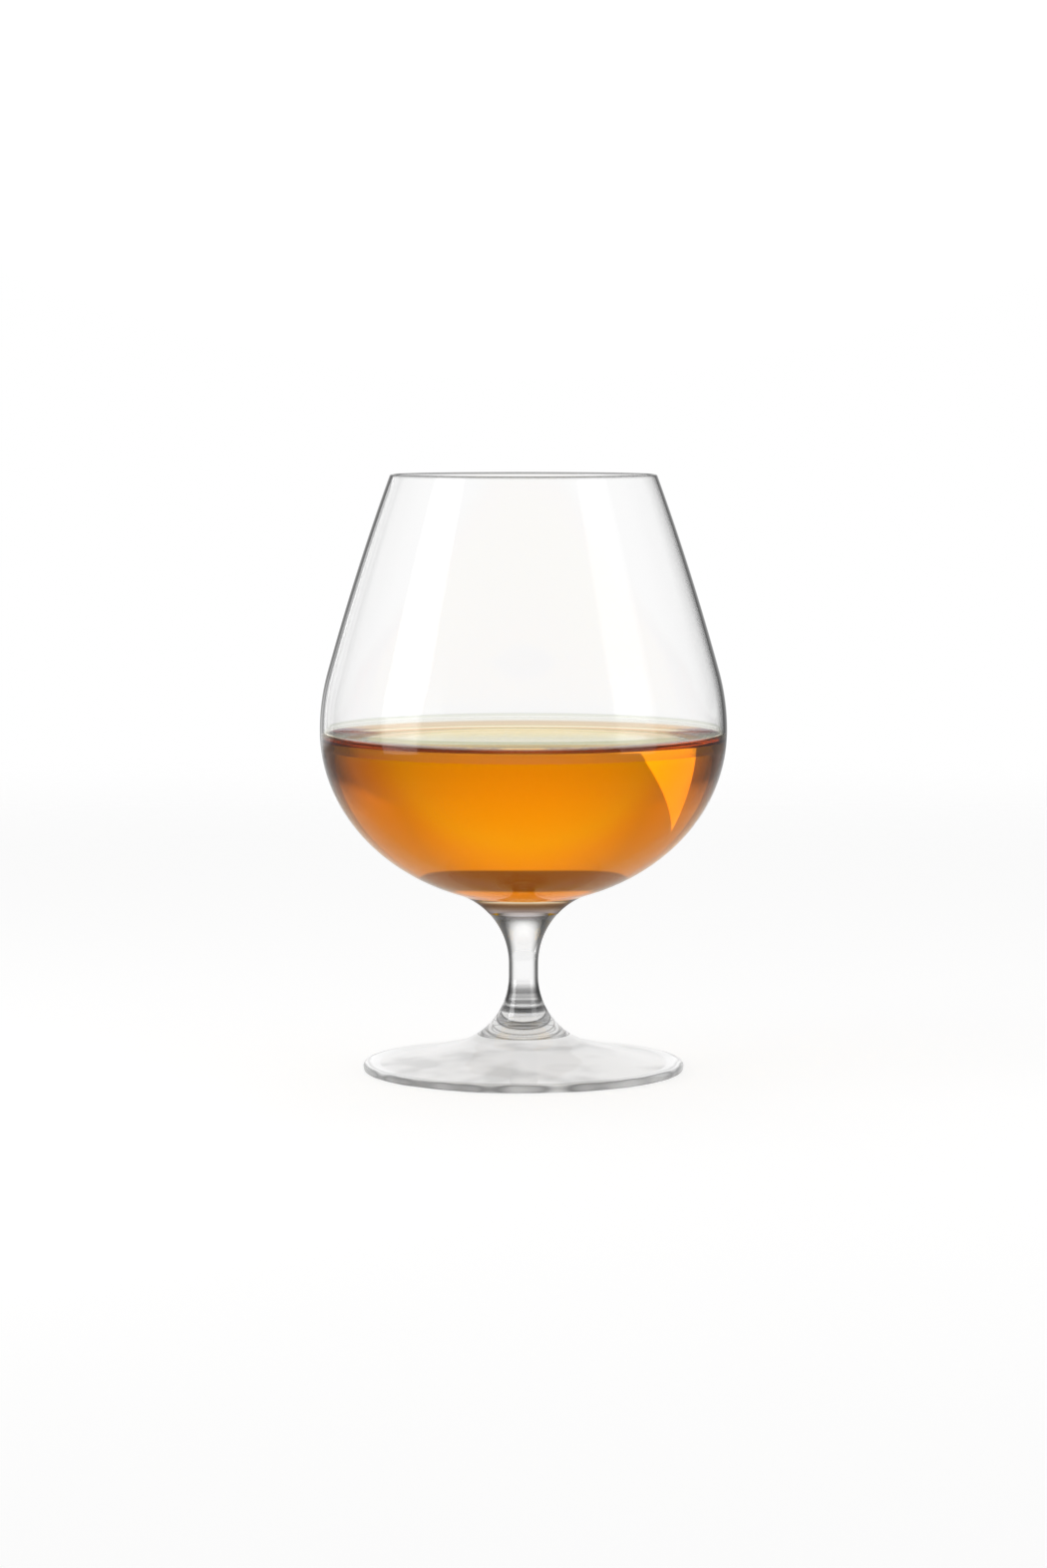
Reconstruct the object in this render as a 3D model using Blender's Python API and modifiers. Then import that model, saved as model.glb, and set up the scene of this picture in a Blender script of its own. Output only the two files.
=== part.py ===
"""Brandy snifter with a measure of spirit: a blown bowl, a drawn stem and a pressed foot, fused one on another.

Every piece is turned about the Z axis. The glass stands on the plane z = 0 and its sizes are in metres.
"""

import math

import bpy
from mathutils import Vector

# Foot
FOOT_RADIUS = 0.0361
FOOT_EDGE_THICKNESS = 0.0020
FOOT_EDGE_ROUND = 0.0009
FOOT_SWEEP_RADIUS = 0.210
STANDING_RING_WIDTH = 0.0032
UNDERSIDE_RISE = 0.0009

# Stem, measured at its waist: the straight stretch between the two flares
WAIST_RADIUS = 0.0033
WAIST_HEIGHT = 0.0215
WAIST_LENGTH = 0.0025
LOWER_FLARE_RADIUS = 0.0160
UPPER_FLARE_RADIUS = 0.0168

# Fused joints, as distances along the axis from the ends of the waist
FOOT_JOINT_DROP = 0.0133
BOWL_JOINT_RISE = 0.0116
FUSION_GAP = 0.0003

# Bowl
WIDEST_RADIUS = 0.0456
BELLY_DEPTH = 0.0389
SHOULDER_RADIUS = 0.0500
UPPER_HEIGHT = 0.0567
UPPER_SWEEP_RADIUS = 0.560
RIM_RADIUS = 0.0299
LIP_THICKNESS = 0.0011
WALL_THICKNESS = 0.0013
BASE_THICKNESS = 0.0021
BASE_ROUND = 0.0200

# Drink
DRINK_DEPTH = 0.0343
MENISCUS_RISE = 0.0024
MENISCUS_RADIUS = 0.0045
DRINK_CLEARANCE = 0.0003

# Facets
TURN_STEPS = 48
SHARP_ANGLE = math.radians(40)
SAME_PLACE = 0.000001

GLASS_COLOUR = (0.95, 0.97, 0.97, 1.0)
GLASS_IOR = 1.52
DRINK_COLOUR = (0.78, 0.30, 0.03, 1.0)
DRINK_IOR = 1.36


def heading(start, end):
    """Angle of the line from start to end, measured from the outward direction."""
    return math.atan2(end.y - start.y, end.x - start.x)


def point_at_distances(first, first_distance, second, second_distance):
    """The point at the given distances from two points, on the left of the line from the first to the second."""
    along = second - first
    span = along.length
    foot = (first_distance**2 - second_distance**2 + span**2) / (2 * span)
    height = math.sqrt(first_distance**2 - foot**2)
    along.normalize()
    return first + along * foot + Vector((-along.y, along.x)) * height


def ellipse(centre, half_width, half_depth, start, end, steps):
    """Points (radius, height) round an ellipse, from one angle to another."""
    angles = [start + (end - start) * step / steps for step in range(steps + 1)]
    return [centre + Vector((half_width * math.cos(a), half_depth * math.sin(a))) for a in angles]


def arc(centre, radius, start, end, steps):
    return ellipse(centre, radius, radius, start, end, steps)


def joined(*runs):
    """One outline from runs that each begin where the last one ended."""
    outline = list(runs[0])
    for run in runs[1:]:
        outline.extend(run[1:] if (run[0] - outline[-1]).length < SAME_PLACE else run)
    return outline


def from_belly(half_width, half_depth, angle, outwards=0.0):
    """Point of an ellipse about the belly's centre, moved outwards square to the ellipse."""
    point = Vector((half_width * math.cos(angle), half_depth * math.sin(angle)))
    normal = Vector((math.cos(angle) / half_width, math.sin(angle) / half_depth)).normalized()
    return point + normal * outwards


def belly_angle(holds):
    """Angle on the lower belly, counted up from straight down, at which a condition stops holding."""
    low, high = -math.pi / 2, 0.0
    for _ in range(60):
        middle = (low + high) / 2
        if holds(middle):
            low = middle
        else:
            high = middle
    return (low + high) / 2


def flare_from_belly(angle):
    """Centre of an upper flare that touches the belly at an angle, measured from the belly's centre."""
    return from_belly(WIDEST_RADIUS, BELLY_DEPTH, angle, UPPER_FLARE_RADIUS)


# Places that two or more pieces share, as (radius, height)
LOWER_FLARE = Vector((WAIST_RADIUS + LOWER_FLARE_RADIUS, WAIST_HEIGHT))
UPPER_FLARE = Vector((WAIST_RADIUS + UPPER_FLARE_RADIUS, WAIST_HEIGHT + WAIST_LENGTH))
BELLY_TOUCH = belly_angle(lambda angle: flare_from_belly(angle).x < UPPER_FLARE.x)
BELLY = Vector((0.0, UPPER_FLARE.y - flare_from_belly(BELLY_TOUCH).y))
SHOULDER = Vector((WIDEST_RADIUS - SHOULDER_RADIUS, BELLY.y))
LIP = Vector((RIM_RADIUS - LIP_THICKNESS / 2, BELLY.y + UPPER_HEIGHT))
CAVITY_BOTTOM = BELLY.y - BELLY_DEPTH + BASE_THICKNESS
FOOT_JOINT_HEIGHT = LOWER_FLARE.y - FOOT_JOINT_DROP
BOWL_JOINT_HEIGHT = UPPER_FLARE.y + BOWL_JOINT_RISE


def lower_flare_angle(height):
    """Angle of the lower flare's arc at a height below the waist."""
    return -math.pi + math.asin((LOWER_FLARE.y - height) / LOWER_FLARE_RADIUS)


def upper_flare_angle(height):
    """Angle of the upper flare's arc at a height above the waist."""
    return math.pi - math.asin((height - UPPER_FLARE.y) / UPPER_FLARE_RADIUS)


def foot_outline():
    edge = Vector((FOOT_RADIUS - FOOT_EDGE_ROUND, FOOT_EDGE_THICKNESS - FOOT_EDGE_ROUND))
    sweep = point_at_distances(
        LOWER_FLARE, FOOT_SWEEP_RADIUS - LOWER_FLARE_RADIUS, edge, FOOT_SWEEP_RADIUS + FOOT_EDGE_ROUND
    )
    flare_end = heading(sweep, LOWER_FLARE)
    seat = lower_flare_angle(FOOT_JOINT_HEIGHT - FUSION_GAP)
    ring_inner = edge.x - STANDING_RING_WIDTH
    dome_radius = (ring_inner**2 + UNDERSIDE_RISE**2) / (2 * UNDERSIDE_RISE)
    dome = Vector((0.0, UNDERSIDE_RISE - dome_radius))
    dome_edge = math.asin(ring_inner / dome_radius)
    return joined(
        [Vector((0.0, FOOT_JOINT_HEIGHT - FUSION_GAP))],
        arc(LOWER_FLARE, LOWER_FLARE_RADIUS, seat, flare_end, 4),
        arc(sweep, FOOT_SWEEP_RADIUS, flare_end, heading(sweep, edge), 6),
        arc(edge, FOOT_EDGE_ROUND, heading(edge, sweep), 0.0, 4),
        arc(Vector((edge.x, FOOT_EDGE_ROUND)), FOOT_EDGE_ROUND, 0.0, -math.pi / 2, 4),
        arc(dome, dome_radius, math.pi / 2 - dome_edge, math.pi / 2, 5),
    )


def stem_outline():
    top = BOWL_JOINT_HEIGHT - FUSION_GAP
    return joined(
        [Vector((0.0, top))],
        arc(UPPER_FLARE, UPPER_FLARE_RADIUS, upper_flare_angle(top), math.pi, 7),
        arc(LOWER_FLARE, LOWER_FLARE_RADIUS, -math.pi, lower_flare_angle(FOOT_JOINT_HEIGHT), 8),
        [Vector((0.0, FOOT_JOINT_HEIGHT))],
    )


def cavity_outline(clearance=0.0):
    """The hollow of the bowl from its lip down to its flat bottom, drawn in by a clearance."""
    lip_round = LIP_THICKNESS / 2
    shoulder_radius = SHOULDER_RADIUS - WALL_THICKNESS - clearance
    sweep_radius = UPPER_SWEEP_RADIUS - clearance
    sweep = point_at_distances(
        SHOULDER, sweep_radius - shoulder_radius, LIP, sweep_radius + lip_round + clearance
    )
    turn = heading(sweep, SHOULDER)
    half_width = WIDEST_RADIUS - WALL_THICKNESS - clearance
    half_depth = BELLY_DEPTH - WALL_THICKNESS - clearance
    bottom = CAVITY_BOTTOM + clearance
    base_round = BASE_ROUND - clearance
    round_height = bottom + base_round - BELLY.y
    leave = belly_angle(lambda angle: from_belly(half_width, half_depth, angle, -base_round).y < round_height)
    round_centre = BELLY + from_belly(half_width, half_depth, leave, -base_round)
    round_start = heading(round_centre, BELLY + from_belly(half_width, half_depth, leave))
    return joined(
        arc(sweep, sweep_radius, heading(sweep, LIP), turn, 5),
        arc(SHOULDER, shoulder_radius, turn, 0.0, 4),
        ellipse(BELLY, half_width, half_depth, 0.0, leave, 11),
        arc(round_centre, base_round, round_start, -math.pi / 2, 3),
        [Vector((0.0, bottom))],
    )


def bowl_outline():
    lip_round = LIP_THICKNESS / 2
    cavity = cavity_outline()
    sweep = point_at_distances(
        SHOULDER, UPPER_SWEEP_RADIUS - SHOULDER_RADIUS, LIP, UPPER_SWEEP_RADIUS - lip_round
    )
    turn = heading(sweep, SHOULDER)
    lip_inside = heading(LIP, cavity[0]) % (2 * math.pi)
    lip_outside = heading(sweep, LIP)
    touch_point = BELLY + from_belly(WIDEST_RADIUS, BELLY_DEPTH, BELLY_TOUCH)
    return joined(
        cavity[::-1],
        arc(LIP, lip_round, lip_inside, lip_outside, 6),
        arc(sweep, UPPER_SWEEP_RADIUS, lip_outside, turn, 5),
        arc(SHOULDER, SHOULDER_RADIUS, turn, 0.0, 4),
        ellipse(BELLY, WIDEST_RADIUS, BELLY_DEPTH, 0.0, BELLY_TOUCH, 10),
        arc(
            UPPER_FLARE,
            UPPER_FLARE_RADIUS,
            heading(UPPER_FLARE, touch_point),
            upper_flare_angle(BOWL_JOINT_HEIGHT),
            4,
        ),
        [Vector((0.0, BOWL_JOINT_HEIGHT))],
    )


def below(outline, height):
    """The lower part of a falling outline, from the point where it passes a height."""
    for upper, lower in zip(outline, outline[1:]):
        if upper.y >= height > lower.y:
            start = upper.lerp(lower, (upper.y - height) / (upper.y - lower.y))
            return [start] + [point for point in outline if point.y < height]
    return outline


def drink_outline():
    level = CAVITY_BOTTOM + DRINK_DEPTH
    side = below(cavity_outline(DRINK_CLEARANCE), level + MENISCUS_RISE)
    climb = math.acos(1 - MENISCUS_RISE / MENISCUS_RADIUS)
    centre = Vector((side[0].x - MENISCUS_RADIUS * math.sin(climb), level + MENISCUS_RADIUS))
    return joined(
        [Vector((0.0, level))],
        arc(centre, MENISCUS_RADIUS, -math.pi / 2, -math.pi / 2 + climb, 5),
        side,
    )


def clear_material(name, colour, ior):
    material = bpy.data.materials.new(name)
    material.use_nodes = True
    shader = material.node_tree.nodes["Principled BSDF"]
    shader.inputs["Base Color"].default_value = colour
    shader.inputs["Roughness"].default_value = 0.02
    shader.inputs["Metallic"].default_value = 0.0
    shader.inputs["IOR"].default_value = ior
    shader.inputs["Transmission Weight"].default_value = 1.0
    return material


def turned_piece(name, outline, material, collection, parent):
    """A solid made by turning an outline that runs down its outer side, shaded smooth up to its sharp edges."""
    profile = bpy.data.meshes.new(name)
    corners = [(point.x, 0.0, point.y) for point in outline]
    profile.from_pydata(corners, [(i, i + 1) for i in range(len(corners) - 1)], [])
    piece = bpy.data.objects.new(name, profile)
    collection.objects.link(piece)
    turn = piece.modifiers.new("Turn", "SCREW")
    turn.axis = "Z"
    turn.angle = 2 * math.pi
    turn.steps = TURN_STEPS
    turn.render_steps = TURN_STEPS
    turn.use_merge_vertices = True
    turn.merge_threshold = 0.00001
    piece.data = bpy.data.meshes.new_from_object(piece.evaluated_get(bpy.context.evaluated_depsgraph_get()))
    piece.modifiers.clear()
    bpy.data.meshes.remove(profile)
    piece.data.name = name
    piece.data.shade_smooth()
    piece.data.set_sharp_from_angle(angle=SHARP_ANGLE)
    piece.data.materials.clear()
    piece.data.materials.append(material)
    piece.parent = parent
    return piece


def main():
    for old in list(bpy.data.objects):
        bpy.data.objects.remove(old)
    collection = bpy.data.collections.new("Brandy snifter")
    bpy.context.scene.collection.children.link(collection)
    stand = bpy.data.objects.new("snifter", None)
    collection.objects.link(stand)

    outlines = {"foot": foot_outline(), "stem": stem_outline(), "bowl": bowl_outline()}
    for name, outline in outlines.items():
        turned_piece(name, outline, clear_material(f"{name} glass", GLASS_COLOUR, GLASS_IOR), collection, stand)
    spirit = clear_material("spirit", DRINK_COLOUR, DRINK_IOR)
    turned_piece("drink", drink_outline(), spirit, collection, stand)


main()
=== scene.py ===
import math

import bpy
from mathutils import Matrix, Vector


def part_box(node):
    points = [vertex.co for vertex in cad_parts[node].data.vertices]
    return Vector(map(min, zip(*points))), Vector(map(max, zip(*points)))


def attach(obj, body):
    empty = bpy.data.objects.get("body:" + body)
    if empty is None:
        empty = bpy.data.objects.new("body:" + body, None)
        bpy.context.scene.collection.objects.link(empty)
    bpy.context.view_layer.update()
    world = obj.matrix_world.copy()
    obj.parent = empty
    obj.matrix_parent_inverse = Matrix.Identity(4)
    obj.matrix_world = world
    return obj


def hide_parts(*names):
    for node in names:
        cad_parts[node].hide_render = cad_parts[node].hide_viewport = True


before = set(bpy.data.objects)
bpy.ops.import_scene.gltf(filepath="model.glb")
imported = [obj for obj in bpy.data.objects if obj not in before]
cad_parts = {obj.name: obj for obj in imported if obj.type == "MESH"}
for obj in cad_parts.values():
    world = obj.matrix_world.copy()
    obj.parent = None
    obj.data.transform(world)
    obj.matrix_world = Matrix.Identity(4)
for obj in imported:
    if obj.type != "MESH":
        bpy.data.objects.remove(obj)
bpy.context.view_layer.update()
bowlLow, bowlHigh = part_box("bowl")
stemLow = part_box("stem")[0]
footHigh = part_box("foot")[1]
print("frame loaded, glass", round(bowlHigh.z * 1000, 1), "mm tall")

samePlace = 1e-6  # points closer than this are one point
flatFacing = 0.99  # a normal this upright belongs to a flat disc
creaseAngle = math.radians(35)  # edges sharper than this stay sharp


# Drawing: an outline is a list of (radius, height) points, run down the outer side
def ellipsePoints(centre, width, depth, startAngle, endAngle, steps):
    angles = [startAngle + (endAngle - startAngle) * i / steps for i in range(steps + 1)]
    return [centre + Vector((width * math.cos(a), depth * math.sin(a))) for a in angles]


def arcPoints(centre, radius, startAngle, endAngle, steps):
    return ellipsePoints(centre, radius, radius, startAngle, endAngle, steps)


def pointAtDistances(first, firstDistance, second, secondDistance):
    along = second - first
    span = along.length
    base = (firstDistance ** 2 - secondDistance ** 2 + span ** 2) / (2 * span)
    height = math.sqrt(firstDistance ** 2 - base ** 2)
    along.normalize()
    return first + along * base + Vector((-along.y, along.x)) * height  # left of the line


def angleOf(start, end):
    return math.atan2(end.y - start.y, end.x - start.x)


def joinRuns(*runs):
    outline = list(runs[0])
    for run in runs[1:]:
        outline += run[1:] if (run[0] - outline[-1]).length < samePlace else run
    return outline


# Modelling: a plane is shrunk to one vertex, drawn along the outline and spun round
def deselectAll():
    if bpy.context.mode != "OBJECT":
        bpy.ops.object.mode_set(mode="OBJECT")
    bpy.ops.object.select_all(action="DESELECT")


def spinOutline(name, outline, steps):
    deselectAll()
    bpy.ops.mesh.primitive_plane_add(size=0.001, location=(0, 0, 0))
    piece = bpy.context.active_object
    piece.name = name
    piece.data.name = name
    bpy.ops.object.mode_set(mode="EDIT")
    bpy.ops.mesh.merge(type="CENTER")
    bpy.ops.transform.translate(value=(outline[0].x, 0, outline[0].y))
    for last, point in zip(outline, outline[1:]):
        step = (point.x - last.x, 0, point.y - last.y)
        bpy.ops.mesh.extrude_region_move(TRANSFORM_OT_translate={"value": step})
    bpy.ops.mesh.select_all(action="SELECT")
    bpy.ops.mesh.spin(steps=steps, angle=2 * math.pi, center=(0, 0, 0), axis=(0, 0, 1))
    bpy.ops.mesh.select_all(action="SELECT")
    bpy.ops.mesh.remove_doubles(threshold=samePlace)
    bpy.ops.mesh.normals_make_consistent(inside=False)
    bpy.ops.object.mode_set(mode="OBJECT")
    bpy.ops.object.shade_smooth_by_angle(angle=creaseAngle)
    print(name, "spun,", len(piece.data.polygons), "faces")
    return piece


def dressPiece(piece, node, finishes):
    # answers with the number of each finish on the piece
    for material in finishes.values():
        piece.data.materials.append(material)
    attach(piece, "root")
    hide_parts(node)
    return {name: number for number, name in enumerate(finishes)}


def coverJoint(piece, height, number):
    # the flat disc where two pieces are fused takes the joint's own material
    for face in piece.data.polygons:
        if abs(face.center.z - height) < 10 * samePlace and abs(face.normal.z) > flatFacing:
            face.material_index = number


# Nodes
def plug(tree, socket, value):
    if isinstance(value, bpy.types.NodeSocket):
        tree.links.new(value, socket)
    else:
        socket.default_value = value


def addNode(tree, kind, settings=None, **sockets):
    node = tree.nodes.new(kind)
    for name, value in (settings or {}).items():
        setattr(node, name, value)
    for name, value in sockets.items():
        plug(tree, node.inputs[name.replace("_", " ")], value)
    return node


def mathOf(tree, operation, *values):
    node = addNode(tree, "ShaderNodeMath", {"operation": operation})
    for socket, value in zip(node.inputs, values):
        plug(tree, socket, value)
    return node.outputs["Value"]


def rangeOf(tree, value, span, startValue=0, endValue=1, way="LINEAR"):
    node = addNode(tree, "ShaderNodeMapRange", {"interpolation_type": way}, Value=value,
                   From_Min=span[0], From_Max=span[1], To_Min=startValue, To_Max=endValue)
    return node.outputs["Result"]


def smoothStep(tree, value, span, startValue, endValue):
    return rangeOf(tree, value, span, startValue, endValue, "SMOOTHSTEP")


def mixOf(tree, factor, first, second, way="MIX"):
    node = addNode(tree, "ShaderNodeMix", {"data_type": "RGBA", "blend_type": way}, Factor=factor, A=first, B=second)
    return node.outputs["Result"]


def shadeOf(value):
    return (value,) * 3 + (1,) if isinstance(value, (int, float)) else (*value, 1)


def shadesAlong(tree, along, stops):
    first, last = stops[0][0], stops[-1][0]
    ramp = addNode(tree, "ShaderNodeValToRGB", Fac=rangeOf(tree, along, (first, last)))
    while len(ramp.color_ramp.elements) < len(stops):
        ramp.color_ramp.elements.new(0.5)
    for stop, (at, shade) in zip(ramp.color_ramp.elements, stops):
        stop.position = (at - first) / (last - first)
        stop.color = shadeOf(shade)
    return ramp.outputs["Color"]


def placeOf(tree):
    where = tree.nodes.new("ShaderNodeTexCoord").outputs["Object"]
    return where, addNode(tree, "ShaderNodeSeparateXYZ", Vector=where).outputs


def radiusOf(tree, axes):
    flat = addNode(tree, "ShaderNodeCombineXYZ", X=axes["X"], Y=axes["Y"])
    length = addNode(tree, "ShaderNodeVectorMath", {"operation": "LENGTH"}, Vector=flat.outputs["Vector"])
    return length.outputs["Value"]


def noiseOf(tree, where, scale, detail):
    return addNode(tree, "ShaderNodeTexNoise", Vector=where, Scale=scale, Detail=detail).outputs["Fac"]


def facingOf(tree):
    # 0 where a face is seen square on, 1 where it is seen edge on
    return addNode(tree, "ShaderNodeLayerWeight", Blend=0.5).outputs["Facing"]


# Finishes
def newMaterial(name):
    material = bpy.data.materials.new(name)
    material.use_nodes = True
    return material, material.node_tree


def clearMaterial(finish):
    material, tree = newMaterial(finish["name"])
    shader = tree.nodes["Principled BSDF"]
    shader.inputs["Roughness"].default_value = 0
    shader.inputs["IOR"].default_value = finish["bend"]
    shader.inputs["Transmission Weight"].default_value = 1
    shader.inputs["Specular Tint"].default_value = shadeOf(finish["gloss"])
    return material, tree, shader


def clearGlass(finish):
    material, tree, shader = clearMaterial(finish)
    where, axes = placeOf(tree)
    height = axes["Z"]
    waves = noiseOf(tree, where, finish["waveScale"], detail=1)
    # painted shade: the colour of glass seen edge on is darker than that of glass seen square on
    facing = facingOf(tree)
    along = facing
    if "lean" in finish:
        # painted shade lines of one slant sag in the middle, and less so where the height counts too
        perHeight, start = finish["lean"]
        along = mathOf(tree, "ADD", facing, mathOf(tree, "MULTIPLY_ADD", height, -perHeight, perHeight * start))
    colour = shadesAlong(tree, along, finish["slants"])
    if "slantsHigh" in finish:
        rise = rangeOf(tree, height, finish["highFrom"])
        colour = mixOf(tree, rise, colour, shadesAlong(tree, facing, finish["slantsHigh"]))
    # painted shade by height, by radius and by cloud is multiplied into the colour
    paintedShades = []
    if "heights" in finish:
        paintedShades.append((height, "heights"))
    if "radii" in finish:
        paintedShades.append((mathOf(tree, "MULTIPLY_ADD", waves, finish.get("wander", 0), radiusOf(tree, axes)), "radii"))
    if "clouds" in finish:
        paintedShades.append((noiseOf(tree, where, finish["waveScale"], detail=2), "clouds"))
    for value, stops in paintedShades:
        colour = mixOf(tree, 1, colour, shadesAlong(tree, value, finish[stops]), "MULTIPLY")
    tree.links.new(colour, shader.inputs["Base Color"])
    # slow waves left by blowing and pressing, and the chill rings of the stem
    millimetre = 0.001
    surface = mathOf(tree, "MULTIPLY", waves, finish["waveHeight"] / millimetre)
    if "rings" in finish:
        low, high, pitch, ringHeight = finish["rings"]
        swell = mathOf(tree, "SINE", mathOf(tree, "MULTIPLY", height, 2 * math.pi / pitch))
        fadeIn = smoothStep(tree, height, (high, (low + high) / 2), 0, ringHeight / millimetre)
        surface = mathOf(tree, "MULTIPLY_ADD", swell, fadeIn, surface)
    bump = addNode(tree, "ShaderNodeBump", Strength=1, Distance=millimetre, Height=surface)
    tree.links.new(bump.outputs["Normal"], shader.inputs["Normal"])
    return material


def fusedJoint():
    material, tree = newMaterial("fused_joint")
    tree.nodes.remove(tree.nodes["Principled BSDF"])
    through = tree.nodes.new("ShaderNodeBsdfTransparent")
    tree.links.new(through.outputs["BSDF"], tree.nodes["Material Output"].inputs["Surface"])
    return material


def amberSpirit(finish, level, edgeRadius):
    material, tree, shader = clearMaterial(finish)
    axes = placeOf(tree)[1]
    # painted shade: the flat top of the drink, inside its meniscus and seen edge on, is coloured a dark green-grey
    inward = rangeOf(tree, radiusOf(tree, axes), [edgeRadius - inset for inset in finish["topInset"]], 1, 0)
    upward = rangeOf(tree, axes["Z"], [level - below for below in finish["topSkin"]])
    grazed = rangeOf(tree, facingOf(tree), finish["topSlants"])
    onTop = mathOf(tree, "MULTIPLY", mathOf(tree, "MULTIPLY", inward, upward), grazed)
    tree.links.new(mixOf(tree, onTop, shadeOf(1), shadeOf(finish["topPaintedShade"])), shader.inputs["Base Color"])
    body = addNode(tree, "ShaderNodeVolumeAbsorption", Color=shadeOf(finish["body"]), Density=finish["density"])
    tree.links.new(body.outputs["Volume"], tree.nodes["Material Output"].inputs["Volume"])
    return material


# The shape of the glass, from the frame and a few radii
glass = {
    "waistRadius": 0.0033,
    "waistHeight": 0.0215,
    "waistLength": 0.0025,
    "lowerFlare": 0.0160,
    "upperFlare": 0.0168,
    "segments": 256,
}
lowerFlare = Vector((glass["waistRadius"] + glass["lowerFlare"], glass["waistHeight"]))
upperFlare = Vector((glass["waistRadius"] + glass["upperFlare"], glass["waistHeight"] + glass["waistLength"]))
footJoint = stemLow.z
bowlJoint = bowlLow.z


def lowerFlareAngle(height):
    return -math.pi + math.asin((lowerFlare.y - height) / glass["lowerFlare"])


def upperFlareAngle(height):
    return math.pi - math.asin((height - upperFlare.y) / glass["upperFlare"])


jointMaterial = fusedJoint()

# A finish: bend is what the surface does to light, gloss how strongly it mirrors. The shades are
# painted shade: pairs of a place and a shade, by slant to the eye, by height, by radius and by cloud.

# Foot
foot = {
    "edgeThickness": 0.0020,
    "edgeRound": 0.0009,
    "sweepRadius": 0.210,
    "ringWidth": 0.0032,
    "undersideRise": 0.0009,
    "undersideSlope": 0.7,
    "seamGap": 0.00003,
}
edge = Vector((footHigh.x - foot["edgeRound"], foot["edgeThickness"] - foot["edgeRound"]))
sweep = pointAtDistances(
    lowerFlare, foot["sweepRadius"] - glass["lowerFlare"], edge, foot["sweepRadius"] + foot["edgeRound"]
)
flareEnd = angleOf(sweep, lowerFlare)
ringInner = edge.x - foot["ringWidth"]
domeRadius = (ringInner ** 2 + foot["undersideRise"] ** 2) / (2 * foot["undersideRise"])
domeCentre = Vector((0, foot["undersideRise"] - domeRadius))
domeEdge = math.asin(ringInner / domeRadius)
footTop = footJoint - foot["seamGap"]
footPiece = spinOutline("glass_foot", joinRuns(
    [Vector((0, footTop))],
    arcPoints(lowerFlare, glass["lowerFlare"], lowerFlareAngle(footTop), flareEnd, steps=48),
    arcPoints(sweep, foot["sweepRadius"], flareEnd, angleOf(sweep, edge), steps=24),
    arcPoints(edge, foot["edgeRound"], angleOf(edge, sweep), 0, steps=16),
    arcPoints(Vector((edge.x, foot["edgeRound"])), foot["edgeRound"], 0, -math.pi / 2, steps=16),
    arcPoints(domeCentre, domeRadius, math.pi / 2 - domeEdge, math.pi / 2, steps=24),
), glass["segments"])
# painted shade: the foot is darker seen edge on, in a ring round the stem and in a patchy band at its rim
footFinish = {
    "name": "foot_glass", "bend": 1.16, "gloss": 1, "waveScale": 90, "waveHeight": 0.0001,
    "slants": ((0.85, 0.98), (0.93, 0.8), (0.98, 0.3)),
    "radii": ((0.0099, 0.6), (0.0109, 1), (0.0355, 1), (0.0361, 0.5), (0.0366, 0.85), (0.0371, 0.12), (0.0377, 0.45)),
    # how far the waves push the painted shade rings about
    "wander": 0.0024,  # how far the waves push the radii about
}
# painted shade: mottled darker patches from a noise on the face the foot rests on, and a little darker seen edge on
restingFinish = {
    "name": "resting_face", "bend": 1, "gloss": 0, "waveScale": 60, "waveHeight": 0,
    "slants": ((0.98, 1), (1, 0.9)),
    "clouds": ((0.38, 0.66), (0.47, 0.90), (0.56, 1)),
}
footFaces = dressPiece(footPiece, "foot", {
    "top": clearGlass(footFinish), "joint": jointMaterial, "underside": clearGlass(restingFinish),
})
coverJoint(footPiece, footTop, footFaces["joint"])
for face in footPiece.data.polygons:
    if face.normal.z < -foot["undersideSlope"] and face.center.z < footJoint / 2:
        face.material_index = footFaces["underside"]

# Stem
stemPiece = spinOutline("glass_stem", joinRuns(
    [Vector((0, bowlJoint))],
    arcPoints(upperFlare, glass["upperFlare"], upperFlareAngle(bowlJoint), math.pi, steps=40),
    arcPoints(lowerFlare, glass["lowerFlare"], -math.pi, lowerFlareAngle(footJoint), steps=30),
    [Vector((0, footJoint))],
), glass["segments"])
# painted shade: dark lines by slant and by height stand in for the lines seen through the stem's base, and the stem is
# darker seen edge on
stemFinish = {
    "name": "stem_glass", "bend": 1.20, "gloss": 9, "waveScale": 60, "waveHeight": 0.00003,
    "rings": (0.008, 0.0145, 0.0012, 0.00002),  # from, to, pitch, height
    # the lean gives the painted shade lines their slant per metre of height
    "lean": (250, 0.008),  # slant per metre of height, counted from
    "slants": ((-0.89, 1), (-0.84, 0.9), (-0.78, 0.01), (-0.70, 0.2), (-0.45, 0.25), (-0.37, 0.02), (-0.28, 0.75),
               (-0.10, 0.8), (-0.05, 0.15), (0.02, 0.9), (0.20, 0.9), (0.27, 0.15), (0.36, 0.75), (0.55, 0.15),
               (0.68, 0.6), (0.85, 0.1)),
    "slantsHigh": ((0.18, 0.96), (0.24, 0.78), (0.30, 0.45), (0.38, 0.12), (0.46, 0.01)),
    "highFrom": (0.0135, 0.0160),
    "heights": ((0.0081, 0.3), (0.0085, 1), (0.0133, 1), (0.0138, 0.1), (0.0143, 0.04), (0.0148, 0.1), (0.0152, 0.9),
                (0.0162, 1), (0.0168, 0.22), (0.0178, 0.25), (0.0186, 0.5), (0.0192, 1), (0.0345, 1), (0.0352, 0.75)),
}
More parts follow.
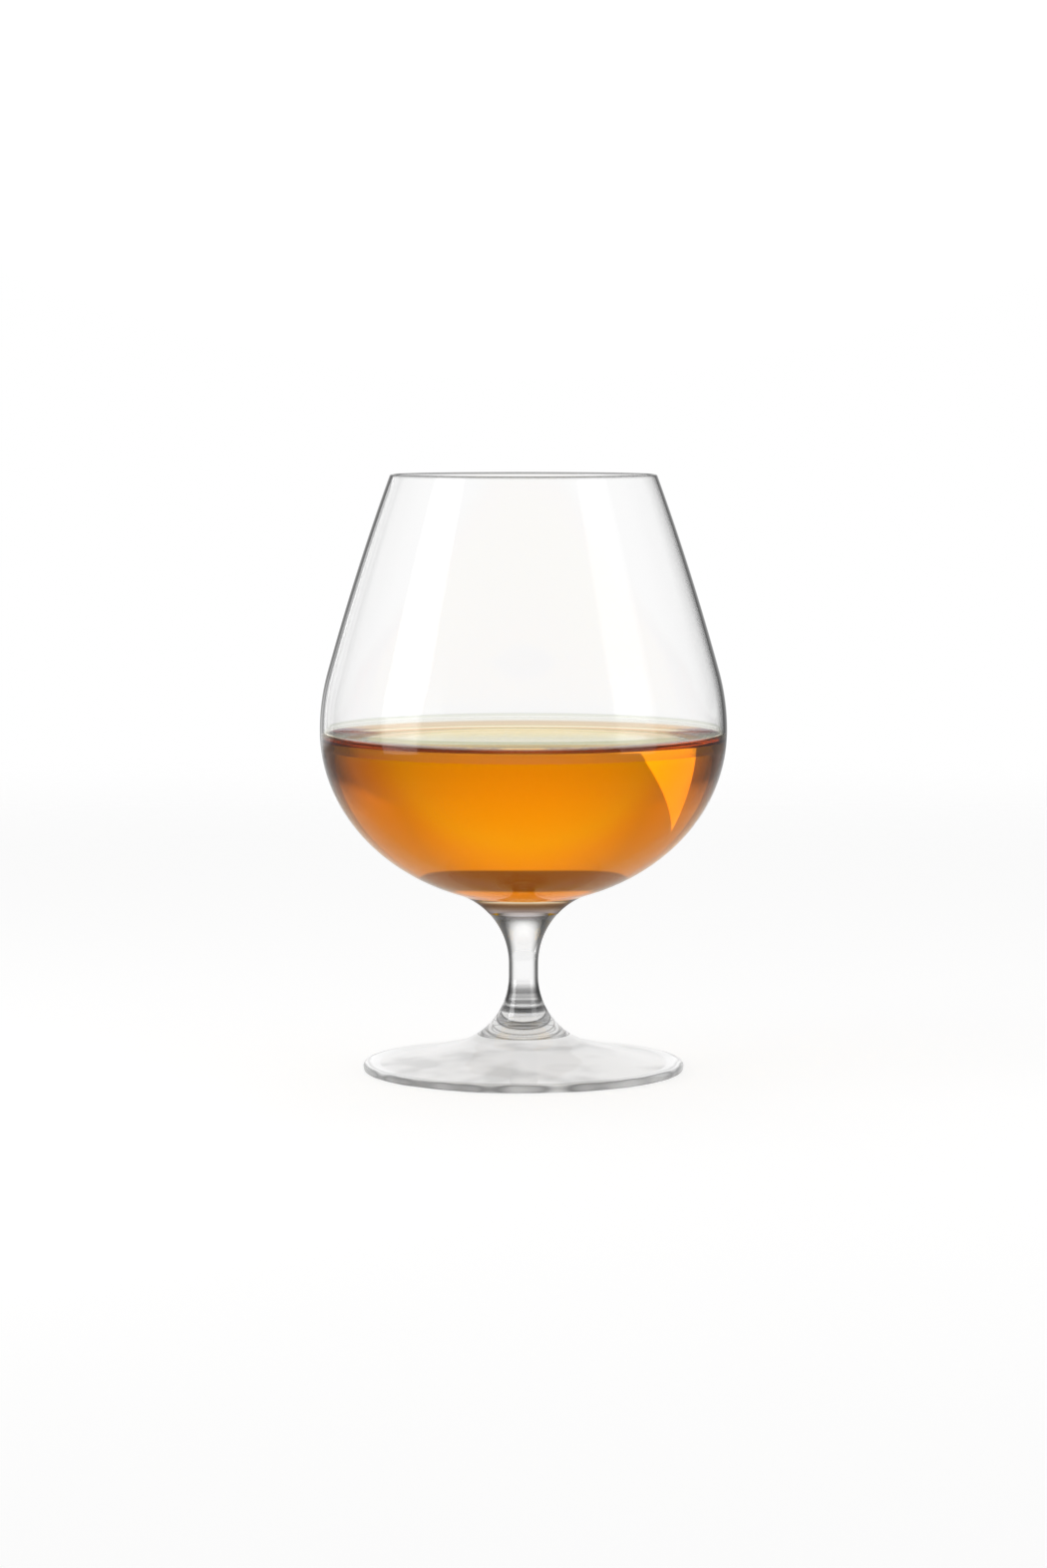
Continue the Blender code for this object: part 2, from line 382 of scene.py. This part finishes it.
# painted shade: dark rings on the fused seam
seamFinish = {
    "name": "fused_seam", "bend": 1, "gloss": 0, "waveScale": 60, "waveHeight": 0,
    "slants": ((0.98, 1), (1, 0.9)),
    "radii": ((0.0058, 1), (0.0062, 0.35), (0.0066, 1), (0.0074, 1), (0.0078, 0.2), (0.0082, 1), (0.0089, 1),
              (0.0092, 0.3), (0.0095, 1)),
}
stemFaces = dressPiece(stemPiece, "stem", {
    "side": clearGlass(stemFinish), "joint": jointMaterial, "seam": clearGlass(seamFinish),
})
coverJoint(stemPiece, bowlJoint, stemFaces["joint"])
coverJoint(stemPiece, footJoint, stemFaces["seam"])

# Bowl
bowl = {
    "bellyDepth": 0.0389,
    "shoulderRadius": 0.0500,
    "sweepRadius": 0.560,
    "rimRadius": 0.0299,
    "lip": 0.0011,
    "wall": 0.0013,
    "base": 0.0021,
    "baseRound": 0.0200,
    "neckTop": 0.0394,
    "wetEdge": 0.0035,
}
halvings = 60  # of an angle, to find where two curves touch


def alongEllipse(width, depth, angle, outwards):
    point = Vector((width * math.cos(angle), depth * math.sin(angle)))
    return point + Vector((math.cos(angle) / width, math.sin(angle) / depth)).normalized() * outwards


def flareFromBelly(angle):
    return alongEllipse(bowlHigh.x, bowl["bellyDepth"], angle, glass["upperFlare"])


def angleWhere(isBelow):
    low, high = -math.pi / 2, 0
    for halving in range(halvings):
        middle = (low + high) / 2
        low, high = (middle, high) if isBelow(middle) else (low, middle)
    return low


touchAngle = angleWhere(lambda angle: flareFromBelly(angle).x < upperFlare.x)
belly = Vector((0, upperFlare.y - flareFromBelly(touchAngle).y))
touchPoint = belly + Vector((bowlHigh.x * math.cos(touchAngle), bowl["bellyDepth"] * math.sin(touchAngle)))
shoulder = Vector((bowlHigh.x - bowl["shoulderRadius"], belly.y))
lipRound = bowl["lip"] / 2
lip = Vector((bowl["rimRadius"] - lipRound, bowlHigh.z - lipRound))
cavityBottom = belly.y - bowl["bellyDepth"] + bowl["base"]


def cavityOutline(outset):
    # the hollow from lip to bottom, moved into the wall by outset
    shoulderRadius = bowl["shoulderRadius"] - bowl["wall"] + outset
    sweepRadius = bowl["sweepRadius"] + outset
    centre = pointAtDistances(shoulder, sweepRadius - shoulderRadius, lip, sweepRadius + lipRound - outset)
    turn = angleOf(centre, shoulder)
    width = bowlHigh.x - bowl["wall"] + outset
    depth = bowl["bellyDepth"] - bowl["wall"] + outset
    bottom = cavityBottom - outset
    baseRound = bowl["baseRound"]

    def roundCentre(angle):
        return belly + alongEllipse(width, depth, angle, -baseRound)

    bottomAngle = angleWhere(lambda angle: roundCentre(angle).y < bottom + baseRound)
    touch = belly + alongEllipse(width, depth, bottomAngle, 0)
    inside = roundCentre(bottomAngle)
    return joinRuns(
        arcPoints(centre, sweepRadius, angleOf(centre, lip), turn, steps=16),
        arcPoints(shoulder, shoulderRadius, turn, 0, steps=16),
        ellipsePoints(belly, width, depth, 0, bottomAngle, steps=56),
        arcPoints(inside, baseRound, angleOf(inside, touch), -math.pi / 2, steps=8),
        [Vector((0, bottom))],
    )


cavity = cavityOutline(0)
outerSweep = pointAtDistances(
    shoulder, bowl["sweepRadius"] - bowl["shoulderRadius"], lip, bowl["sweepRadius"] - lipRound
)
outerTurn = angleOf(outerSweep, shoulder)
lipInside = angleOf(lip, cavity[0]) % (2 * math.pi)
lipOutside = angleOf(outerSweep, lip)
bowlPiece = spinOutline("glass_bowl", joinRuns(
    cavity[::-1],
    arcPoints(lip, lipRound, lipInside, lipOutside, steps=16),
    arcPoints(outerSweep, bowl["sweepRadius"], lipOutside, outerTurn, steps=16),
    arcPoints(shoulder, bowl["shoulderRadius"], outerTurn, 0, steps=16),
    ellipsePoints(belly, bowlHigh.x, bowl["bellyDepth"], 0, touchAngle, steps=60),
    arcPoints(upperFlare, glass["upperFlare"], angleOf(upperFlare, touchPoint), upperFlareAngle(bowlJoint), steps=24),
    [Vector((0, bowlJoint))],
), glass["segments"])
# painted shade: the bowl is darker seen edge on, in a greenish grey band at the drink's edge and at the lip
bowlFinish = {
    "name": "bowl_glass", "bend": 1.08, "gloss": 14, "waveScale": 40, "waveHeight": 0.00005,
    "slants": ((0.30, 1), (0.55, 0.94), (0.66, 0.78), (0.70, 0.66), (0.74, 0.42), (0.78, 0.12), (0.81, 0)),
    "heights": ((0.0771, (0.86, 0.87, 0.80)), (0.0773, (0.80, 0.82, 0.76)), (0.0776, 1), (0.1333, 1), (0.1337, 0.4),
                (0.1340, 0.25)),
}
insideFinish = dict(bowlFinish, name="bowl_inside", slants=((0.55, 1), (0.95, 0.8)))
# below the drink's edge the wall hardly bends light that goes on into the drink
# painted shade: a yellow band by slant, dark bands by slant high up, and a golden tint above the neck
sideFinish = {
    "name": "bowl_side", "bend": 1.10, "gloss": 1, "waveScale": 40, "waveHeight": 0.00005,
    "slants": ((0.56, (1, 0.94, 0.45)), (0.62, 1), (0.84, 1), (0.96, 0.35)),
    "slantsHigh": ((0.48, 1), (0.57, 0.5), (0.64, 0.2), (0.71, 0.2), (0.77, 0.34), (0.88, 0.02)),
    "highFrom": (0.0600, 0.0670),
    "heights": ((0.0394, (1, 0.8, 0.08)), (0.0415, (1, 0.82, 0.1)), (0.0435, (1, 0.95, 0.6)), (0.0450, 1)),
}
# painted shade: dark brown bands by slant just below the drink's edge
edgeFinish = {
    "name": "bowl_wet_edge", "bend": 1.08, "gloss": 14, "waveScale": 40, "waveHeight": 0.00005,
    "slants": ((0.30, (0.78, 0.56, 0.42)), (0.42, (0.72, 0.5, 0.4)), (0.50, (0.25, 0.2, 0.3)),
               (0.62, (0.16, 0.13, 0.15)), (0.80, (0.3, 0.25, 0.2)), (0.90, 0.02)),
    "slantsHigh": ((0.50, 1), (0.62, (1, 0.88, 0.6)), (0.80, (1, 0.85, 0.55)), (0.90, 0.02)),
    "highFrom": (0.0750, 0.0757),
}
# painted shade: warm darker tints by slant and by height on the wetted wall
wettedFinish = {
    "name": "wetted_glass", "bend": 1.10, "gloss": 0, "waveScale": 40, "waveHeight": 0,
    "slants": ((0.12, 1), (0.16, (1, 0.80, 0.75)), (0.20, (1, 0.72, 0.65)), (0.25, (0.9, 0.62, 0.5)),
               (0.31, (0.7, 0.5, 0.4)), (0.455, (0.7, 0.5, 0.4)), (0.50, (0.95, 0.85, 0.85)), (0.60, 1)),
    "slantsHigh": ((0.12, 1), (0.31, 0.95)),
    "highFrom": (0.0725, 0.0740),
    "heights": ((0.0500, 1), (0.0660, (1, 0.69, 0.7)), (0.0715, (1, 0.69, 0.6)), (0.0738, (0.90, 0.86, 0.72)),
                (0.0771, (0.86, 0.87, 0.78))),
}
# painted shade: dark brown bands by height and darker edges by slant on the neck
neckFinish = {
    "name": "bowl_neck", "bend": 1.04, "gloss": 1, "waveScale": 40, "waveHeight": 0.00005,
    "slants": ((0.62, 1), (0.74, 0.45), (0.86, 0.06)),
    "heights": ((0.0356, (0.25, 0.23, 0.24)), (0.0362, (0.35, 0.29, 0.28)), (0.0368, (0.31, 0.23, 0.18)),
                (0.0374, (0.175, 0.10, 0.058)), (0.0380, (0.15, 0.073, 0.03)), (0.0385, (0.26, 0.13, 0.057)),
                (0.0389, (0.7, 0.5, 0.3)), (0.0394, (1, 0.9, 0.7))),
}
bowlFaces = dressPiece(bowlPiece, "bowl", {
    "dry": clearGlass(bowlFinish), "joint": jointMaterial, "wetted": clearGlass(wettedFinish),
    "side": clearGlass(sideFinish), "neck": clearGlass(neckFinish), "inside": clearGlass(insideFinish),
    "wetEdge": clearGlass(edgeFinish),
})
coverJoint(bowlPiece, bowlJoint, bowlFaces["joint"])

# Drink: it wets the wall, so its side lies just inside the glass
drink = {
    "wetting": 0.00015,
    "depth": 0.0343,
    "meniscusRise": 0.0024,
    "meniscusSteps": 48,
    "slopePerStep": 0.91,
}
spiritFinish = {
    "name": "amber_spirit", "bend": 1.36, "gloss": 0.05,
    "body": (0.965, 0.865, 0.0), "density": 100,
    # the top's colour is painted shade
    "topPaintedShade": (0.22, 0.34, 0.20), "topInset": (0.0055, 0.0020), "topSkin": (0.0002, 0.0001),
    "topSlants": (0.80, 0.90),
}
level = cavityBottom + drink["depth"]
contact = level + drink["meniscusRise"]
side = [point for point in cavityOutline(drink["wetting"]) if point.y <= contact]
edgeRadius = side[0].x
# a liquid that wets its wall meets it upright and levels out over its capillary length
capillary = drink["meniscusRise"] / math.sqrt(2)
meniscus = [Vector((edgeRadius, contact))]
slope = math.pi / 2
for step in range(drink["meniscusSteps"]):
    nextSlope = slope * drink["slopePerStep"]
    middle = (slope + nextSlope) / 2
    drop = capillary * math.cos(middle / 2) * (slope - nextSlope)
    meniscus.append(meniscus[-1] - Vector((drop / math.tan(middle), drop)))
    slope = nextSlope
meniscus[-1].y = level
meniscus.reverse()
drinkPiece = spinOutline("spirit", joinRuns([Vector((0, level))], meniscus, side[1:]), glass["segments"])
dressPiece(drinkPiece, "drink", {"spirit": amberSpirit(spiritFinish, level, edgeRadius)})

# now that the drink's edge is known, each zone of the bowl gets its finish
hollowFrom = cavityBottom - 100 * samePlace
for face in bowlPiece.data.polygons:
    if face.material_index == bowlFaces["joint"]:
        continue
    height = face.center.z
    inwards = face.normal.dot(face.center - Vector((0, 0, contact))) < 0 and height > hollowFrom
    if height > contact:
        zone = "inside" if inwards else "dry"
    elif inwards:
        zone = "wetted"
    elif height > contact - bowl["wetEdge"]:
        zone = "wetEdge"
    else:
        zone = "side" if height > bowl["neckTop"] else "neck"
    face.material_index = bowlFaces[zone]
print("glass and drink in place")

# Floor: pale near the glass, with a painted shadow under the foot, and fading out towards its rim
floorFinish = {
    "radius": 0.9,
    "sides": 128,
    "fadeFrom": 0.45,
    "paint": 0.3,
    "glow": 0.80,
    "glowAside": 0.95,
    "pool": (0.125, 0.190),  # the half width over which the paint ends, on the axis
    "poolWidening": 0.119,  # and how much wider it is per metre towards the back
    "footShade": 0.80,
    "shadeEdge": (0.0335, 0.0365),
}
deselectAll()
bpy.ops.mesh.primitive_circle_add(
    vertices=floorFinish["sides"], radius=floorFinish["radius"], fill_type="NGON", location=(0, 0, 0)
)
floor = bpy.context.active_object
floor.name = "floor"
floorMaterial, tree = newMaterial("pale_floor")
tree.nodes.remove(tree.nodes["Principled BSDF"])
axes = placeOf(tree)[1]
radius = radiusOf(tree, axes)
halfWidth = mathOf(tree, "MULTIPLY_ADD", axes["Y"], -floorFinish["poolWidening"], mathOf(tree, "ABSOLUTE", axes["X"]))
pool = smoothStep(tree, halfWidth, floorFinish["pool"], 1, floorFinish["glowAside"])
# painted shadow under the foot
footShade = smoothStep(tree, radius, floorFinish["shadeEdge"], floorFinish["footShade"], 1)
painted = smoothStep(tree, halfWidth, floorFinish["pool"], 1, 0)
matt = addNode(tree, "ShaderNodeBsdfDiffuse", Color=mixOf(tree, painted, shadeOf(0), shadeOf(floorFinish["paint"])))
glowColour = mathOf(tree, "MULTIPLY", pool, footShade)
glow = addNode(tree, "ShaderNodeEmission", Color=glowColour, Strength=floorFinish["glow"])
both = tree.nodes.new("ShaderNodeAddShader")
plug(tree, both.inputs[0], matt.outputs["BSDF"])
plug(tree, both.inputs[1], glow.outputs["Emission"])
fade = addNode(tree, "ShaderNodeMixShader",
               Fac=smoothStep(tree, radius, (floorFinish["fadeFrom"], floorFinish["radius"]), 0, 1))
plug(tree, fade.inputs[1], both.outputs["Shader"])
plug(tree, fade.inputs[2], tree.nodes.new("ShaderNodeBsdfTransparent").outputs["BSDF"])
tree.links.new(fade.outputs["Shader"], tree.nodes["Material Output"].inputs["Surface"])
floor.data.materials.append(floorMaterial)

# Room: a bright back, a lit panel with a darker warm gap over it, and dark sides. The angles are
# in degrees, aside from straight behind the glass and above the horizon.
room = {
    "grey": 0.47,
    "greyFront": 0.25,
    "frontFrom": (60, 150),
    "spot": 0.78,
    "spotHeight": 17,
    "spotReach": (2, 41),
    "backdrop": 1,
    "backdropSide": (9, 17),
    "backdropTop": (6, 10),
    "raised": 0.85,
    "raisedFrom": (6, 14),
    "raisedSide": (50, 70),
    "card": 1.9,
    "cardLean": 0.837,
    "cardEdge": (-18.6, -17.6),
    "cardSide": (-39.2, -37.8),
    "cardFoot": (-8, -6),
    "panelTop": (27.5, 28.5),
    "panelArch": 0.0112,
    "gap": 0.33,
    "gapTop": (38.2, 40.2),
    "gapColour": (1, 0.86, 0.75),
    "ceiling": 1.1,
    "ceilingAside": 0.25,
    "ceilingSide": (50, 80),
}
world = bpy.data.worlds.new("studio")
bpy.context.scene.world = world
world.use_nodes = True
worldTree = world.node_tree


def worldMath(operation, *values):
    return mathOf(worldTree, operation, *values)


def worldStep(value, span, startValue, endValue):
    return smoothStep(worldTree, value, room[span], startValue, endValue)


direction = worldTree.nodes.new("ShaderNodeTexCoord").outputs["Generated"]
axes = addNode(worldTree, "ShaderNodeSeparateXYZ", Vector=direction).outputs
aside = worldMath("DEGREES", worldMath("ARCTAN2", worldMath("ABSOLUTE", axes["X"]), axes["Y"]))
signed = worldMath("DEGREES", worldMath("ARCTAN2", axes["X"], axes["Y"]))
above = worldMath("DEGREES", worldMath("ARCSINE", axes["Z"]))
spotHeight = math.radians(room["spotHeight"])
towardsSpot = addNode(worldTree, "ShaderNodeVectorMath", {"operation": "DOT_PRODUCT"}, Vector=direction)
towardsSpot.inputs[1].default_value = (0, math.cos(spotHeight), math.sin(spotHeight))
offSpot = worldMath("DEGREES", worldMath("ARCCOSINE", towardsSpot.outputs["Value"]))
lit = worldMath("ADD", worldStep(aside, "frontFrom", room["grey"], room["greyFront"]),
                worldStep(offSpot, "spotReach", room["spot"], 0))
backdrop = worldMath("MULTIPLY", worldStep(aside, "backdropSide", room["backdrop"], 0),
                     worldStep(above, "backdropTop", 1, 0))
raised = worldMath("MULTIPLY", worldStep(above, "raisedFrom", 0, room["raised"]), worldStep(aside, "raisedSide", 1, 0))
# the white card stands at the left, with one leaning edge
cardEdge = worldMath("MULTIPLY_ADD", above, room["cardLean"], signed)
card = worldMath("MULTIPLY", worldStep(cardEdge, "cardEdge", room["card"], 0), worldStep(signed, "cardSide", 0, 1))
card = worldMath("MULTIPLY", card, worldStep(above, "cardFoot", 0, 1))
for patch in (backdrop, raised, card):
    lit = worldMath("MAXIMUM", lit, patch)
# panel, gap and ceiling end along arched lines
arched = worldMath("MULTIPLY_ADD", worldMath("MULTIPLY", aside, aside), -room["panelArch"], above)
underGap = worldStep(arched, "panelTop", lit, room["gap"])
ceiling = worldStep(aside, "ceilingSide", room["ceiling"], room["ceilingAside"])
inGap = worldMath("SUBTRACT", worldStep(arched, "panelTop", 0, 1), worldStep(arched, "gapTop", 0, 1))
warm = worldMath("MULTIPLY", inGap, worldStep(aside, "ceilingSide", 1, 0))
background = worldTree.nodes["Background"]
plug(worldTree, background.inputs["Color"], mixOf(worldTree, warm, shadeOf(1), shadeOf(room["gapColour"])))
plug(worldTree, background.inputs["Strength"], worldStep(arched, "gapTop", underGap, ceiling))

# Soft boxes
softBoxes = {
    "left": {"azimuth": 70, "elevation": 16, "distance": 0.36, "size": (0.16, 0.37), "radiance": 2.8},
    "right": {"azimuth": -64, "elevation": 16, "distance": 0.36, "size": (0.16, 0.37), "radiance": 1.2},
}
lampTarget = Vector((0, 0, 0.08))
for name, box in softBoxes.items():
    around, up = math.radians(box["azimuth"]), math.radians(box["elevation"])
    towards = Vector((-math.sin(around) * math.cos(up), -math.cos(around) * math.cos(up), math.sin(up)))
    deselectAll()
    bpy.ops.object.light_add(type="AREA", location=lampTarget + towards * box["distance"])
    lamp = bpy.context.active_object
    lamp.name = "softbox_" + name
    lamp.data.shape = "RECTANGLE"
    lamp.data.size, lamp.data.size_y = box["size"]
    lamp.data.energy = box["radiance"] * math.pi * box["size"][0] * box["size"][1]
    lamp.rotation_euler = towards.to_track_quat("Z", "Y").to_euler()
    lamp.visible_camera = False

# Camera, as far and as high as the photo was taken from
camera = {"distance": 0.9807, "height": 0.15015, "tilt": 4.983, "lens": 100.77, "sensor": 36, "near": 0.01}
deselectAll()
bpy.ops.object.camera_add(
    location=(0, -camera["distance"], camera["height"]), rotation=(math.radians(90 - camera["tilt"]), 0, 0)
)
eye = bpy.context.active_object
eye.data.sensor_fit = "VERTICAL"
eye.data.sensor_height = camera["sensor"]
eye.data.lens = camera["lens"]
eye.data.clip_start = camera["near"]
scene = bpy.context.scene
scene.camera = eye
scene.view_settings.view_transform = "Standard"
# light passes many walls on its way through glass and drink
scene.cycles.max_bounces = 32
scene.cycles.transmission_bounces = 32
scene.cycles.glossy_bounces = 16
scene.cycles.transparent_max_bounces = 32
print("stage, lights and camera set")
